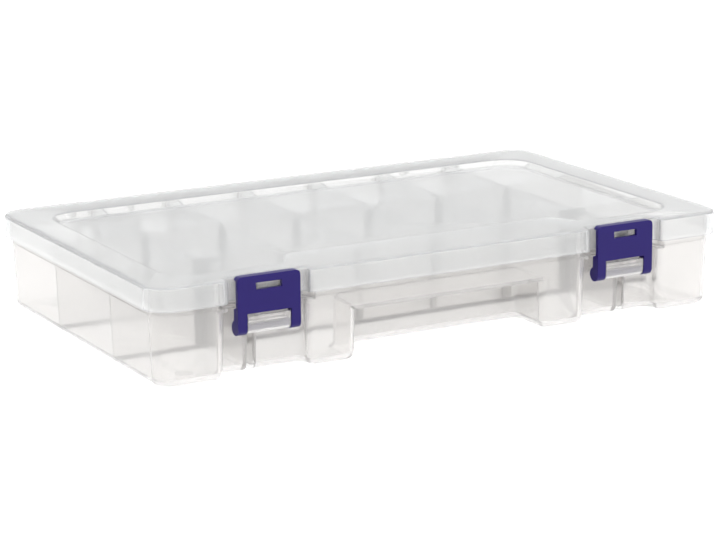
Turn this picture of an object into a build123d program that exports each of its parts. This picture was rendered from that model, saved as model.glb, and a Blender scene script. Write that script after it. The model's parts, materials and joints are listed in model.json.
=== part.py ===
from build123d import *
import math
import os

# Small parts organizer: a flat compartment tray under a hinged lid, closed by two latches.
# Millimetres. Origin at the middle of the underside, +Z up, front (the latches) towards -Y.

# Whole box, closed
lid_length = 355.0
lid_width = 215.0
box_height = 54.5

# Lid moulding
lid_wall = 1.8
lid_corner_radius = 14.0
lid_skirt_height = 13.0
lid_top_edge_radius = 2.4
lid_notch_depth = 6.4
lid_notch_edge_radius = 3.2
lid_notch_least_radius = 0.8
lid_notch_root_radius = 2.6

# Sunken panel in the lid, and the border that jogs in between the latches
panel_side_border = 18.9
panel_front_border = 19.0
panel_back_border = 22.5
panel_jog_border = 37.0
panel_jog_from_latch = 17.5
panel_jog_run = 9.0
panel_depth = 3.3
panel_slope_run = 5.0
panel_corner_radius = 18.0
panel_jog_radius = 8.0

# Tray moulding
lid_overhang = 3.5
tray_wall = 1.8
tray_floor = 1.8
tray_corner_radius = 12.0
tray_draft = 1.2
tray_foot_radius = 4.6
tray_cove_chamfer = 2.3
bay_edge_radius = 6.0
pocket_root_radius = 3.0
rim_step_below_skirt = 3.3
rim_step = 0.4
rim_clearance = 0.3

# Latch pockets and finger recess in the tray's front
latch_from_lid_end = 66.5
pocket_width = 46.5
pocket_depth = 10.0
pocket_roof_thickness = 1.6
bay_width = 30.75
recess_depth = 27.0
recess_roof_z = 28.0

# Fixed walls inside
front_row_depth = 61.0
back_row_depth = 73.0
row_wall_thickness = 1.6
row_wall_lid_gap = 0.7
row_wall_foot_chamfer = 1.8
partition_from_latch = 5.4
partition_width = 7.8
partition_flare_radius = 5.0
partition_slot_width = 4.8
partition_slot_top_width = 2.4
partition_slot_roof = 4.7

# Loose dividers and the rib pairs that hold them
divider_pitch = 47.6
divider_count = 6
divider_thickness = 1.2
divider_end_clearance = 0.3
divider_side_clearance = 0.15
divider_top_gap = 0.3
divider_foot_radius = 3.6
divider_top_chamfer = 1.2
divider_bead_height = 2.4
divider_bead_swell = 0.4
rib_width = 1.5
rib_depth = 1.7
rib_top_drop = 2.7
rib_tip_chamfer = 0.5

# Latch moulding
latch_width = 36.5
latch_front_setback = 1.5
latch_plate_thickness = 2.4
latch_leg_depth = 5.2
latch_leg_height = 11.2
latch_leg_bevel = 1.2
latch_hook_depth = 4.5
latch_hook_thickness = 2.2
latch_corner_radius = 2.6
latch_window_half_width = 12.8
latch_window_height = 7.7
latch_slot_length = 15.0
latch_slot_drop = 4.0
latch_slot_height = 3.6
latch_axis_below_roof = 9.8
latch_knuckle_radius = 4.0
latch_rod_radius = 2.4

# Clip on the tray that holds the latch's rod
clip_bore_clearance = 0.07
clip_wall = 1.3
clip_end_clearance = 0.5
clip_shelf_height = 6.2
clip_mouth_width = 3.9
clip_mouth_turn = -45.0
clip_edge_radius = 0.65

# Rear hinge: rods between lugs on the tray, hooks on the lid
hinge_axis_setback = 2.7
hinge_axis_above_skirt = 2.5
hinge_rod_radius = 1.5
hinge_rod_length = 34.0
hinge_lug_thickness = 3.0
hinge_lug_radius = 2.2
hinge_lug_foot_below_skirt = 12.5
hinge_lug_shoulder_below_skirt = 1.3
hook_bore_clearance = 0.08
hook_wall = 1.45
hook_end_clearance = 0.3
hook_mouth_width = 2.4
hook_mouth_turn = -60.0

# Round dimples under the four corners
dimple_side_inset = 24.0
dimple_end_inset = 21.0
dimple_radius = 4.6
dimple_depth = 0.4

# Worked out from the sizes above
skirt_low_z = box_height - lid_skirt_height
rim_top_z = box_height - lid_wall - rim_clearance
rim_step_height = skirt_low_z - rim_step_below_skirt
draft_angle = math.degrees(math.atan(tray_draft / rim_step_height))
tray_half_x = lid_length / 2 - lid_overhang
tray_half_y = lid_width / 2 - lid_overhang
latch_centre_x = lid_length / 2 - latch_from_lid_end
pocket_inner_x = latch_centre_x - pocket_width / 2
pocket_outer_x = latch_centre_x + pocket_width / 2
pocket_back_y = -tray_half_y + pocket_depth
pocket_roof_z = rim_step_height - pocket_roof_thickness
recess_half_width = pocket_inner_x - bay_width
recess_back_y = -tray_half_y + recess_depth
lid_notch_y = -lid_width / 2 + lid_notch_depth
rim_notch_y = lid_notch_y + lid_overhang
row_wall_front_y = -tray_half_y + front_row_depth
row_wall_rear_y = tray_half_y - back_row_depth
row_wall_top_z = box_height - panel_depth - lid_wall - row_wall_lid_gap
partition_x = latch_centre_x + partition_from_latch
partition_slot_top_z = row_wall_top_z - partition_slot_roof
rib_top_z = row_wall_top_z - rib_top_drop
latch_axis_y = -lid_width / 2 + latch_front_setback + latch_knuckle_radius
latch_axis_z = pocket_roof_z - latch_axis_below_roof
hinge_centre_x = latch_centre_x
hinge_axis_y = lid_width / 2 + hinge_axis_setback
hinge_axis_z = skirt_low_z + hinge_axis_above_skirt
overcut = 5.0
least_step = 0.01


def mirrored(points):
    """Closes a right-hand half outline, given from front to back, with its mirror image."""
    return points + [(-x, y) for x, y in reversed(points)]


def rounded_face(points, radii, z):
    """A flat face at height z with its own radius at every corner."""
    line = FilletPolyline(*points, radius=radii, close=True)
    return Pos(0, 0, z) * make_face(line)


def draft_at(z):
    """How far the tray's outer walls lean in at height z."""
    return tray_draft * (1 - z / rim_step_height)


def tray_outline(inset, recess):
    """The tray's plan under its rim, moved in by inset, with or without the finger recess."""
    x_side = tray_half_x - inset
    y_side = tray_half_y - inset
    y_pocket = pocket_back_y + inset
    edge = bay_edge_radius - inset
    root = pocket_root_radius + inset
    corner = tray_corner_radius - inset
    half = []
    radii = []
    if recess:
        half += [(recess_half_width + inset, recess_back_y + inset), (recess_half_width + inset, -y_side)]
        radii += [root, edge]
    half += [(pocket_inner_x - inset, -y_side), (pocket_inner_x - inset, y_pocket)]
    half += [(pocket_outer_x + inset, y_pocket), (pocket_outer_x + inset, -y_side)]
    half += [(x_side, -y_side), (x_side, y_side)]
    radii += [edge, root, root, edge, corner, corner]
    return mirrored(half), radii + radii[::-1]


def lid_outline(inset):
    """The lid's plan, moved in by inset: a rounded rectangle with a notch for each latch."""
    x_side = lid_length / 2 - inset
    y_edge = lid_width / 2 - inset
    y_notch = lid_notch_y + inset
    half = [(pocket_inner_x - inset, -y_edge), (pocket_inner_x - inset, y_notch)]
    half += [(pocket_outer_x + inset, y_notch), (pocket_outer_x + inset, -y_edge)]
    half += [(x_side, -y_edge), (x_side, y_edge)]
    edge = max(lid_notch_edge_radius - inset, lid_notch_least_radius)
    corner = lid_corner_radius - inset
    radii = [edge, lid_notch_root_radius, lid_notch_root_radius, edge, corner, corner]
    return mirrored(half), radii + radii[::-1]


def lid_prism(inset, z_low, z_high):
    """The lid's plan, moved in by inset, as an upright block."""
    points, radii = lid_outline(inset)
    return extrude(rounded_face(points, radii, z_low), z_high - z_low)


def tray_block(inset, recess, z_low, z_high):
    """One storey of the tray, moved in by inset. All its walls lean in downwards by the draft."""
    points, radii = tray_outline(inset + draft_at(z_high), recess)
    face = rounded_face(points, radii, z_high)
    return extrude(face, z_high - z_low, dir=(0, 0, -1), taper=draft_angle)


def at_height(shape, z):
    """The edges of a shape that lie flat at height z."""
    return shape.edges().filter_by_position(Axis.Z, z - least_step, z + least_step)


def tray_outside():
    """The tray as a full block: three drafted storeys and the upright rim that the lid covers."""
    foot = tray_block(0, True, 0, recess_roof_z)
    foot = fillet(at_height(foot, 0), tray_foot_radius)
    body = tray_block(0, False, recess_roof_z, pocket_roof_z)
    roof_plan = RectangleRounded(2 * tray_half_x, 2 * tray_half_y, tray_corner_radius)
    roof = extrude(Pos(0, 0, pocket_roof_z) * roof_plan, rim_step_height - pocket_roof_z)
    for side in (-1, 1):
        notch = Box(pocket_width, 2 * (rim_notch_y + tray_half_y), box_height)
        roof -= Pos(side * latch_centre_x, -tray_half_y, pocket_roof_z) * notch
    rim = lid_prism(lid_overhang + rim_step, rim_step_height, rim_top_z)
    return foot + body + roof + rim


def tray_inside():
    """The whole hollow of the tray, before the inner walls stand in it."""
    low_top = recess_roof_z + tray_wall
    foot = tray_block(tray_wall, True, tray_floor, low_top)
    foot = chamfer(at_height(foot, tray_floor), tray_cove_chamfer)
    body = tray_block(tray_wall, False, low_top, pocket_roof_z)
    throat = tray_block(tray_wall, False, pocket_roof_z, rim_step_height)
    throat &= lid_prism(lid_overhang + tray_wall, pocket_roof_z, rim_step_height)
    mouth = lid_prism(lid_overhang + tray_wall, rim_step_height, rim_top_z + overcut)
    return foot + body + throat + mouth


def partition_slot(side):
    """The slot that hollows a fixed partition from below, narrower at its top."""
    profile = Polyline(
        (-partition_slot_width / 2, -overcut),
        (partition_slot_width / 2, -overcut),
        (partition_slot_width / 2, 0),
        (partition_slot_top_width / 2, partition_slot_top_z),
        (-partition_slot_top_width / 2, partition_slot_top_z),
        (-partition_slot_width / 2, 0),
        close=True,
    )
    y_front = pocket_back_y - 2 * tray_wall
    y_back = row_wall_front_y - row_wall_thickness / 2 - tray_wall
    face = Plane.XZ * make_face(profile)
    return Pos(side * partition_x, y_back, 0) * extrude(face, y_back - y_front)


def tray_shell(outside, hollow):
    """Outer walls, floor, latch pockets, finger recess and rim."""
    shell = outside - hollow
    for side in (-1, 1):
        shell -= partition_slot(side)
        for end in (-1, 1):
            dimple = Cylinder(dimple_radius, dimple_depth, align=(Align.CENTER, Align.CENTER, Align.MIN))
            x = side * (tray_half_x - dimple_side_inset)
            shell -= Pos(x, end * (tray_half_y - dimple_end_inset), 0) * dimple
    return shell


def guide_rib(x, y, towards, root):
    """One upright rib that stands out from a wall's face at y, with its root let into the wall."""
    size = (rib_width, rib_depth + root, rib_top_z - tray_floor)
    rib = Box(*size, align=(Align.CENTER, Align.MIN, Align.MIN))
    tip = rib.edges().filter_by(Axis.Y).group_by(Axis.Z)[-1]
    rib = Pos(0, -root, 0) * chamfer(tip, rib_tip_chamfer)
    turn = 0 if towards > 0 else 180
    return Pos(x, y, tray_floor) * Rot(0, 0, turn) * rib


def guide_ribs(y, towards, hollow, root=0.0):
    """A rib pair for each divider on one wall face, cut to the wall that carries them."""
    reach = divider_thickness / 2 + divider_side_clearance + rib_width / 2
    places = [x + side * reach for x in divider_places() for side in (-1, 1)]
    return Compound([guide_rib(x, y, towards, root) & hollow for x in places])


def divider_places():
    """The x of each divider, spread evenly about the middle."""
    first = -(divider_count - 1) * divider_pitch / 2
    return [first + n * divider_pitch for n in range(divider_count)]


def row_wall(y, hollow):
    """A fixed long wall across the tray, wider at its foot."""
    half = row_wall_thickness / 2
    foot = half + row_wall_foot_chamfer
    shoulder = tray_floor + row_wall_foot_chamfer
    profile = Polyline(
        (-foot, tray_floor), (foot, tray_floor), (half, shoulder),
        (half, row_wall_top_z), (-half, row_wall_top_z), (-half, shoulder),
        close=True,
    )
    wall = extrude(Plane.YZ * make_face(profile), tray_half_x, both=True)
    return Pos(0, y, 0) * wall & hollow


def partition(side, hollow):
    """A hollow fixed partition from a latch pocket to the front long wall, flared where they meet."""
    half = partition_width / 2
    flare = partition_flare_radius
    y_back = row_wall_front_y - row_wall_thickness / 2
    plan = Polyline(
        (-half, pocket_back_y), (half, pocket_back_y), (half, y_back - flare),
        (half + flare, y_back), (-half - flare, y_back), (-half, y_back - flare),
        close=True,
    )
    sketch = make_face(plan)
    for across in (-1, 1):
        sketch -= Pos(across * (half + flare), y_back - flare) * Circle(flare)
    block = extrude(sketch, row_wall_top_z - tray_floor)
    block = Pos(side * partition_x, 0, tray_floor) * block
    return (block & hollow) - partition_slot(side)


def divider(x, y_front, y_back):
    """A loose plate with rounded lower corners and a thicker bead along its top."""
    z_top = row_wall_top_z - divider_top_gap
    y_low = y_front + divider_end_clearance
    y_high = y_back - divider_end_clearance
    y_middle = (y_low + y_high) / 2
    size = (divider_thickness, y_high - y_low, z_top - tray_floor)
    plate = Box(*size, align=(Align.CENTER, Align.CENTER, Align.MIN))
    ends = plate.edges().filter_by(Axis.X).group_by(Axis.Z)
    plate = chamfer(ends[-1], divider_top_chamfer)
    plate = fillet(plate.edges().filter_by(Axis.X).group_by(Axis.Z)[0], divider_foot_radius)
    bead = Box(
        divider_thickness + 2 * divider_bead_swell,
        y_high - y_low - 2 * (rib_depth + divider_top_chamfer),
        divider_bead_height,
        align=(Align.CENTER, Align.CENTER, Align.MAX),
    )
    bead = chamfer(bead.edges().filter_by(Axis.Y), divider_bead_swell)
    return Pos(x, y_middle, tray_floor) * (plate + Pos(0, 0, z_top - tray_floor) * bead)


def clip_ring(bore, wall, length, mouth_width, mouth_turn):
    """A C-shaped snap ring along X; the mouth faces mouth_turn degrees from +Y towards +Z."""
    outer = bore + wall
    ring = Circle(outer) - Circle(bore)
    mouth = Pos(outer, 0) * Rectangle(2 * outer, mouth_width)
    ring -= Rot(0, 0, mouth_turn) * mouth
    return extrude(Plane.YZ * ring, length / 2, both=True)


def latch_clip(side, outside):
    """The tray's snap clip for a latch rod, on a shelf that stands out from the pocket's rear wall."""
    length = 2 * (latch_window_half_width - clip_end_clearance)
    bore = latch_rod_radius + clip_bore_clearance
    outer = bore + clip_wall
    ring = clip_ring(bore, clip_wall, length, clip_mouth_width, clip_mouth_turn)
    back = pocket_back_y + tray_draft - latch_axis_y
    shelf_corners = [(-outer, 0), (-bore, 0), (-bore, bore), (back, bore)]
    shelf_corners += [(back, clip_shelf_height), (-outer, clip_shelf_height)]
    block = extrude(Plane.YZ * make_face(Polyline(*shelf_corners, close=True)), length / 2, both=True)
    upper_edges = block.edges().filter_by(Axis.X).group_by(Axis.Z)[-1]
    block = fillet(upper_edges.sort_by(Axis.Y)[:1], clip_edge_radius)
    return Pos(side * latch_centre_x, latch_axis_y, latch_axis_z) * (block + ring) - outside


def hinge_lugs(side, outside):
    """A hinge rod along X between two lugs that stand out from the tray's rear wall."""
    reach = hinge_axis_y - tray_half_y
    shoulder = -hinge_axis_above_skirt - hinge_lug_shoulder_below_skirt
    foot = -hinge_axis_above_skirt - hinge_lug_foot_below_skirt
    outline = Polyline(
        (-reach - tray_draft, foot), (-reach - tray_draft, shoulder),
        (-hinge_lug_radius, shoulder), (-hinge_lug_radius, 0), (hinge_lug_radius, 0),
        (hinge_lug_radius, shoulder - hinge_lug_radius),
        close=True,
    )
    lug_face = make_face(outline) + Circle(hinge_lug_radius)
    pieces = extrude(Plane.YZ * Circle(hinge_rod_radius), hinge_rod_length / 2, both=True)
    for end in (-1, 1):
        lug = extrude(Plane.YZ * lug_face, hinge_lug_thickness / 2, both=True)
        pieces += Pos(end * (hinge_rod_length + hinge_lug_thickness) / 2, 0, 0) * lug
    return Pos(side * hinge_centre_x, hinge_axis_y, hinge_axis_z) * pieces - outside


def panel_outline(inset):
    """The sunken panel's edge, moved in by inset, with its jog between the latches."""
    x_side = lid_length / 2 - panel_side_border - inset
    x_jog = latch_centre_x - panel_jog_from_latch - inset
    y_front = -lid_width / 2 + panel_front_border + inset
    y_jog = -lid_width / 2 + panel_jog_border + inset
    y_back = lid_width / 2 - panel_back_border - inset
    half = [(x_jog - panel_jog_run, y_jog), (x_jog, y_front), (x_side, y_front), (x_side, y_back)]
    corner = panel_corner_radius - inset
    radii = [panel_jog_radius + inset, panel_jog_radius - inset, corner, corner]
    return mirrored(half), radii + radii[::-1]


def panel_dish(grow, z_floor, z_top):
    """A dish with sloping sides between the panel's floor and its border."""
    low, radii_low = panel_outline(panel_slope_run - grow)
    high, radii_high = panel_outline(-grow)
    low_face = rounded_face(low, radii_low, z_floor)
    high_face = rounded_face(high, radii_high, z_top)
    return loft([low_face, high_face], ruled=True)


def lid_hook(side):
    """A hinge hook on the lid's rear skirt that snaps over a rod."""
    length = hinge_rod_length - 2 * hook_end_clearance
    bore = hinge_rod_radius + hook_bore_clearance
    ring = clip_ring(bore, hook_wall, length, hook_mouth_width, hook_mouth_turn)
    outer = bore + hook_wall
    web = Pos(-hinge_axis_setback / 2 - lid_wall / 4, outer / 2)
    web *= Rectangle(hinge_axis_setback + lid_wall / 2, outer)
    web -= Circle(bore)
    ring += extrude(Plane.YZ * web, length / 2, both=True)
    return Pos(side * hinge_centre_x, hinge_axis_y, hinge_axis_z) * ring


def lid():
    """Border, sunken panel, skirt with latch notches, and rear hooks."""
    outside = lid_prism(0, skirt_low_z, box_height)
    outside = fillet(at_height(outside, box_height), lid_top_edge_radius)
    under_panel = box_height - panel_depth - lid_wall
    hollow = lid_prism(lid_wall, skirt_low_z - overcut, box_height - lid_wall)
    hollow -= panel_dish(lid_wall, under_panel, box_height)
    dish = panel_dish(0, box_height - panel_depth, box_height)
    shell = outside - hollow - dish
    for side in (-1, 1):
        shell += lid_hook(side)
    return shell


def latch(side):
    """A latch: plate, hook over the top, two legs with knuckles, and the rod between them."""
    x_half = latch_width / 2
    leg_width = x_half - latch_window_half_width
    y_front = -latch_knuckle_radius
    z_top = box_height - latch_axis_z
    leg_back = y_front + latch_leg_depth
    plate_back = y_front + latch_plate_thickness
    hook_back = y_front + latch_hook_depth
    hook_low = z_top - latch_hook_thickness
    side_face = make_face(Polyline(
        (y_front, 0), (y_front, z_top), (hook_back, z_top), (hook_back, hook_low), (plate_back, hook_low),
        (plate_back, latch_leg_height), (leg_back, latch_leg_height - latch_leg_bevel), (leg_back, 0),
        close=True,
    ))
    body = extrude(Plane.YZ * side_face, x_half, both=True)
    top_corners = body.edges().filter_by(Axis.Y).group_by(Axis.Z)[-1]
    body = fillet(top_corners, latch_corner_radius)
    body -= Box(2 * latch_window_half_width, 4 * latch_leg_depth, 2 * latch_window_height)
    slot = Box(latch_slot_length, 2 * latch_leg_depth, latch_slot_height)
    body -= Pos(0, y_front, z_top - latch_slot_drop - latch_slot_height / 2) * slot
    for end in (-1, 1):
        knuckle = extrude(Plane.YZ * Circle(latch_knuckle_radius), leg_width / 2, both=True)
        body += Pos(end * (x_half - leg_width / 2), 0, 0) * knuckle
    body += extrude(Plane.YZ * Circle(latch_rod_radius), latch_window_half_width, both=True)
    return Pos(side * latch_centre_x, latch_axis_y, latch_axis_z) * body


def write(name, shape):
    """One file for each named piece."""
    shape.label = name
    export_step(shape, os.path.join("parts", name + ".step"))


os.makedirs("parts", exist_ok=True)

outside = tray_outside()
inside = tray_inside()
half_wall = row_wall_thickness / 2
rear_wall_y = tray_half_y - tray_draft - tray_wall
front_wall = row_wall(row_wall_front_y, inside)
rear_wall = row_wall(row_wall_rear_y, inside)
cells = inside - front_wall - rear_wall
write("tray_shell", tray_shell(outside, inside))
write("row_wall_front", front_wall)
write("row_wall_rear", rear_wall)
write("guide_ribs_middle_front", guide_ribs(row_wall_front_y + half_wall, 1, cells))
write("guide_ribs_middle_rear", guide_ribs(row_wall_rear_y - half_wall, -1, cells))
write("guide_ribs_back_front", guide_ribs(row_wall_rear_y + half_wall, 1, cells))
write("guide_ribs_back_rear", guide_ribs(rear_wall_y, -1, cells, root=tray_draft))
write("lid", lid())
for side, word in ((-1, "left"), (1, "right")):
    write("partition_" + word, partition(side, cells))
    write("latch_clip_" + word, latch_clip(side, outside))
    write("hinge_lugs_" + word, hinge_lugs(side, outside))
    write("latch_" + word, latch(side))

for number, x in enumerate(divider_places(), start=1):
    write(f"divider_middle_{number}", divider(x, row_wall_front_y + half_wall, row_wall_rear_y - half_wall))
    write(f"divider_back_{number}", divider(x, row_wall_rear_y + half_wall, rear_wall_y))
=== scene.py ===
import json
import math

import bmesh
import bpy
import numpy as np
from mathutils import Matrix, Vector

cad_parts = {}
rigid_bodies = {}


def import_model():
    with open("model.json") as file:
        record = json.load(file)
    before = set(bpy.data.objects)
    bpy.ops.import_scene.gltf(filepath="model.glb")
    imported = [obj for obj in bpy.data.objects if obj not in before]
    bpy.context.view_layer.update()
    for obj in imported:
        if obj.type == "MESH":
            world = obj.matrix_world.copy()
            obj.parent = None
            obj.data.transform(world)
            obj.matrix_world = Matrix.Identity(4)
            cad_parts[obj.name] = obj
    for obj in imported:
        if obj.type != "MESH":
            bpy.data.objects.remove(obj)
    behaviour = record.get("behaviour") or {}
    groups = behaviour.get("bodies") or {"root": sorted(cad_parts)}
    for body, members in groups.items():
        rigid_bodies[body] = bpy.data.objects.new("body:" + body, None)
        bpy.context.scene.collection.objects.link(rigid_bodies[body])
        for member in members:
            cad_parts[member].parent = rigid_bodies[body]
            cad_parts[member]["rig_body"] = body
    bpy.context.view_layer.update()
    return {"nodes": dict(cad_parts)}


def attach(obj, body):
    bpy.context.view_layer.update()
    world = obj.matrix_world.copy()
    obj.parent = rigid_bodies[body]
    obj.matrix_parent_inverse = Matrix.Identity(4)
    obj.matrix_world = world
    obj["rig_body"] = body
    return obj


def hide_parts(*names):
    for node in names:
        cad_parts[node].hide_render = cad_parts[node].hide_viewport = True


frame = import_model()
nodes = frame["nodes"]

# The view: a long lens from the front left, a little above the lid, as a catalogue picture is taken.
# The camera's place and turn were worked out from the box's own straight edges.
view_place = (-0.68965, -1.258027, 0.375285)
view_azimuth, view_elevation, view_roll = -28.707, 13.923, -0.602
focal_pixels, frame_pixels = 2578.358, 716
sensor = 36.0

camera_data = bpy.data.cameras.new("view")
camera_data.sensor_width = sensor
camera_data.lens = focal_pixels * sensor / frame_pixels
camera = bpy.data.objects.new("view", camera_data)
bpy.context.scene.collection.objects.link(camera)
azimuth, elevation = math.radians(view_azimuth), math.radians(view_elevation)
back = Vector((math.sin(azimuth) * math.cos(elevation),
               -math.cos(azimuth) * math.cos(elevation),
               math.sin(elevation)))
roll = Matrix.Rotation(math.radians(view_roll), 3, "Z")
turn = (-back).to_track_quat("-Z", "Y").to_matrix() @ roll
camera.rotation_mode = "QUATERNION"
camera.rotation_quaternion = turn.to_quaternion()
camera.location = view_place
bpy.context.scene.camera = camera

# The studio: a white floor that glows like a light table, under a white surround that is brightest
# overhead and in front. It has no lamps: the light comes from all round, as in a light tent, so the
# edges of the clear plastic stand out in grey and nothing throws a hard shadow.
floor_half = 6.0
floor_white = (0.25, 0.25, 0.25, 1.0)
floor_roughness = 0.9
floor_glow = 0.95
surround_front, surround_back, surround_seen = 1.3, 0.95, 1.0
front_ends, back_starts = -0.9, 0.2
overhead_glow = 1.3
overhead_starts, overhead_full = 0.3, 0.95
walls_to_see_through = 64
glossy_bounces, diffuse_bounces = 8, 32


def grid_mesh(name, points):
    """A mesh from a grid of points: each point is joined to the next in its row and in its column."""
    rows, columns = points.shape[:2]
    r, c = np.meshgrid(np.arange(rows - 1), np.arange(columns - 1), indexing="ij")
    a = r * columns + c
    mesh = bpy.data.meshes.new(name)
    quads = np.stack([a, a + 1, a + columns + 1, a + columns], -1)
    mesh.from_pydata(points.reshape(-1, 3).tolist(), [], quads.reshape(-1, 4).tolist())
    mesh.update()
    return mesh


def feed(node, inputs):
    """Sets a shader node's inputs: a value goes on the socket, and another node's output is linked."""
    for name, value in inputs.items():
        if isinstance(value, bpy.types.NodeSocket):
            node.id_data.links.new(value, node.inputs[name])
        else:
            node.inputs[name].default_value = value


def outputs_of(tree, kind, inputs, **settings):
    """The outputs of a new shader node of a kind, whose settings are made before its inputs are fed."""
    node = tree.nodes.new("ShaderNode" + kind)
    for name, value in settings.items():
        setattr(node, name, value)
    feed(node, inputs)
    return node.outputs


def new_material(name):
    """A new material, with its node tree and its surface shader."""
    material = bpy.data.materials.new(name)
    material.use_nodes = True
    return material, material.node_tree, material.node_tree.nodes["Principled BSDF"]


floor_corners = np.array([[(-1, -1, 0), (1, -1, 0)], [(-1, 1, 0), (1, 1, 0)]], float) * floor_half
floor_mesh = grid_mesh("floor", floor_corners)
floor = bpy.data.objects.new("floor", floor_mesh)
bpy.context.scene.collection.objects.link(floor)
floor_paint, tree, shader = new_material("white_floor")
feed(shader, {"Base Color": floor_white, "Roughness": floor_roughness, "Specular IOR Level": 0.0,
              "Emission Color": (1.0, 1.0, 1.0, 1.0), "Emission Strength": floor_glow})
floor_mesh.materials.append(floor_paint)

world = bpy.data.worlds.new("surround")
bpy.context.scene.world = world
world.use_nodes = True
tree = world.node_tree
tree.nodes.clear()
place = outputs_of(tree, "TexCoord", {})
split = outputs_of(tree, "SeparateXYZ", {"Vector": place["Generated"]})
front_to_back = outputs_of(
    tree, "MapRange",
    {"Value": split["Y"], "From Min": front_ends, "From Max": back_starts,
     "To Min": surround_front, "To Max": surround_back},
    interpolation_type="SMOOTHSTEP")
overhead = outputs_of(
    tree, "MapRange",
    {"Value": split["Z"], "From Min": overhead_starts, "From Max": overhead_full,
     "To Max": overhead_glow},
    interpolation_type="SMOOTHSTEP")
total = outputs_of(tree, "Math", {0: front_to_back["Result"], 1: overhead["Result"]})
rays = outputs_of(tree, "LightPath", {})
strength = outputs_of(
    tree, "Mix", {"Factor": rays["Is Camera Ray"], "A": total["Value"], "B": surround_seen},
    data_type="FLOAT")
light = outputs_of(tree, "Background", {"Strength": strength["Result"]})
outputs_of(tree, "OutputWorld", {"Surface": light["Background"]})

bpy.context.scene.view_settings.view_transform = "Standard"
bpy.context.scene.cycles.max_bounces = walls_to_see_through
bpy.context.scene.cycles.transmission_bounces = walls_to_see_through
bpy.context.scene.cycles.glossy_bounces = glossy_bounces
bpy.context.scene.cycles.diffuse_bounces = diffuse_bounces

# The tray: one moulding in frosted clear polypropylene, about 1.2 mm thick, with its floor, outer walls,
# finger recess and latch pockets. Light passes through it and bends at its edges, with a milky haze,
# faint clouding where the melt cooled unevenly and a fine grain.
tray_tint = (0.998, 0.984, 0.972)
tray_roughness = 0.1
tray_edge_radius = 0.00055
polypropylene_ior = 1.49
clear_share = 0.78
cloud_scale, cloud_detail, cloud_shade = 28.0, 3.0, 0.994
clear_grain_scale, clear_grain_detail = 1400.0, 2.0
clear_grain_strength, clear_grain_height = 0.02, 0.00005
merge_distance = 1e-6
flat_angle, sharp_angle = math.radians(1.0), math.radians(35)
bevel_steps = 2


def grained(tree, shader, place, scale, detail, strength, height):
    """Gives a surface a fine grain: fractal noise of a scale lifts it by up to a height."""
    noise = outputs_of(tree, "TexNoise", {"Vector": place["Object"], "Scale": scale, "Detail": detail})
    bump = outputs_of(tree, "Bump",
                      {"Strength": strength, "Distance": height, "Height": noise["Fac"]})
    feed(shader, {"Normal": bump["Normal"]})


def frosted(name, tint, roughness):
    """A see-through plastic: clear_share of the light goes through, and the rest scatters as haze.

    Its tint drifts with soft noise between cloud_shade of itself and its full value.
    """
    material, tree, shader = new_material(name)
    place = outputs_of(tree, "TexCoord", {})
    clouds = outputs_of(tree, "TexNoise",
                        {"Vector": place["Object"], "Scale": cloud_scale, "Detail": cloud_detail})
    drift = outputs_of(
        tree, "Mix",
        {"Factor": clouds["Fac"], "A": (*[c * cloud_shade for c in tint], 1.0), "B": (*tint, 1.0)},
        data_type="RGBA")
    feed(shader, {"Base Color": drift["Result"], "Roughness": roughness, "IOR": polypropylene_ior,
                  "Transmission Weight": clear_share})
    grained(tree, shader, place, clear_grain_scale, clear_grain_detail,
            clear_grain_strength, clear_grain_height)
    return material


def moulded(node, edge_radius, material):
    """A copy of a CAD node with its triangles joined into flat faces and its sharp edges rounded.

    The edge radius is the most that an edge is rounded by: short edges near it make it less.
    """
    source = nodes[node]
    mesh = source.data.copy()
    mesh.name = node + "_moulded"
    mesh.materials.clear()
    mesh.materials.append(material)
    work = bmesh.new()
    work.from_mesh(mesh)
    bmesh.ops.remove_doubles(work, verts=work.verts, dist=merge_distance)
    bmesh.ops.dissolve_limit(work, angle_limit=flat_angle, verts=work.verts, edges=work.edges)
    work.to_mesh(mesh)
    work.free()
    if mesh.has_custom_normals:
        mesh.attributes.remove(mesh.attributes["custom_normal"])
    mesh.polygons.foreach_set("use_smooth", np.ones(len(mesh.polygons), bool))
    mesh.polygons.foreach_set("material_index", np.zeros(len(mesh.polygons), np.int32))
    piece = bpy.data.objects.new(node + "_moulded", mesh)
    bpy.context.scene.collection.objects.link(piece)
    edges = piece.modifiers.new("rounded_edges", "BEVEL")
    edges.width, edges.segments = edge_radius, bevel_steps
    edges.limit_method, edges.angle_limit = "ANGLE", sharp_angle
    piece.modifiers.new("even_shading", "WEIGHTED_NORMAL")
    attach(piece, source["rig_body"])
    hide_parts(node)


tray_plastic = frosted("tray_plastic", tray_tint, tray_roughness)
moulded("tray_shell", tray_edge_radius, tray_plastic)

# The inside walls: two long walls and the two hollow partitions behind the latch pockets, moulded in
# one with the tray and so in the same plastic, with less rounded edges.
inside_edge_radius = 0.0003
for node in ("row_wall_front", "row_wall_rear", "partition_left", "partition_right"):
    moulded(node, inside_edge_radius, tray_plastic)

# The guide ribs: pairs of small upright ribs on the long walls that hold the dividers between them,
# moulded in one with the tray.
rib_edge_radius = 0.0003
for row in ("middle", "back"):
    for side in ("front", "rear"):
        moulded(f"guide_ribs_{row}_{side}", rib_edge_radius, tray_plastic)

# The clips and lugs: C-shaped snap clips that hold the latches' rods at the front, and the lugs with the
# hinge rods at the back, moulded in one with the tray.
clip_edge_radius = 0.0003
for side in ("left", "right"):
    moulded("latch_clip_" + side, clip_edge_radius, tray_plastic)
    moulded("hinge_lugs_" + side, clip_edge_radius, tray_plastic)

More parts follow.
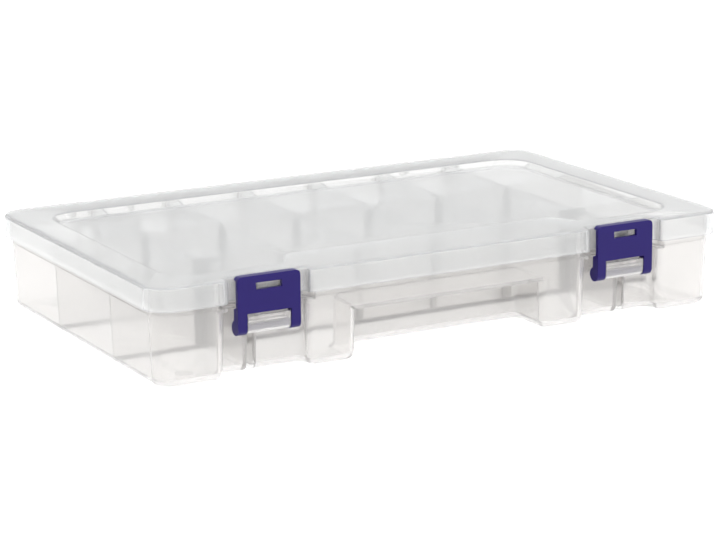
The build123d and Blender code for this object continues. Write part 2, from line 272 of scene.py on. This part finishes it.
# The dividers: twelve loose flat plates in clear plastic, slightly cooler in colour and rougher than the
# tray's, moulded singly and pushed down between the guide ribs.
divider_tint = (0.99, 0.996, 0.999)
divider_roughness = 0.13
divider_edge_radius = 0.0002
dividers_in_row = 6
divider_plastic = frosted("divider_plastic", divider_tint, divider_roughness)
for row in ("middle", "back"):
    for number in range(1, dividers_in_row + 1):
        moulded(f"divider_{row}_{number}", divider_edge_radius, divider_plastic)

# The lid: one moulding in clear polypropylene, a little glossier and cooler than the tray, with a raised
# border round a sunken panel, a skirt over the tray's rim and snap hooks on the hinge rods.
lid_tint = (0.988, 0.996, 0.999)
lid_roughness = 0.08
lid_edge_radius = 0.0005
lid_plastic = frosted("lid_plastic", lid_tint, lid_roughness)
moulded("lid", lid_edge_radius, lid_plastic)

# The latches: two opaque violet-blue polypropylene mouldings, semi-gloss, with softly rounded edges and
# a fine moulded grain. Each snaps by its own rod into the tray's clip and hooks over the lid's notch.
latch_blue = (0.012, 0.0045, 0.105)
latch_streak_blue = (0.014, 0.0055, 0.125)
latch_specular = 0.25
latch_gloss, latch_dull = 0.26, 0.36
streak_scale, streak_detail = (60.0, 200.0, 200.0), 4.0
latch_grain_scale, latch_grain_detail = 2600.0, 2.0
latch_grain_strength, latch_grain_height = 0.12, 0.00003
latch_edge_radius = 0.0004

latch_plastic, tree, shader = new_material("latch_plastic")
place = outputs_of(tree, "TexCoord", {})
stretch = outputs_of(tree, "Mapping", {"Vector": place["Object"], "Scale": streak_scale})
streaks = outputs_of(tree, "TexNoise",
                     {"Vector": stretch["Vector"], "Scale": 1.0, "Detail": streak_detail})
shade = outputs_of(
    tree, "Mix",
    {"Factor": streaks["Fac"], "A": (*latch_blue, 1.0), "B": (*latch_streak_blue, 1.0)},
    data_type="RGBA")
dullness = outputs_of(tree, "MapRange",
                      {"Value": streaks["Fac"], "To Min": latch_gloss, "To Max": latch_dull})
feed(shader, {"Base Color": shade["Result"], "Roughness": dullness["Result"],
              "Specular IOR Level": latch_specular})
grained(tree, shader, place, latch_grain_scale, latch_grain_detail,
        latch_grain_strength, latch_grain_height)
for side in ("left", "right"):
    moulded("latch_" + side, latch_edge_radius, latch_plastic)
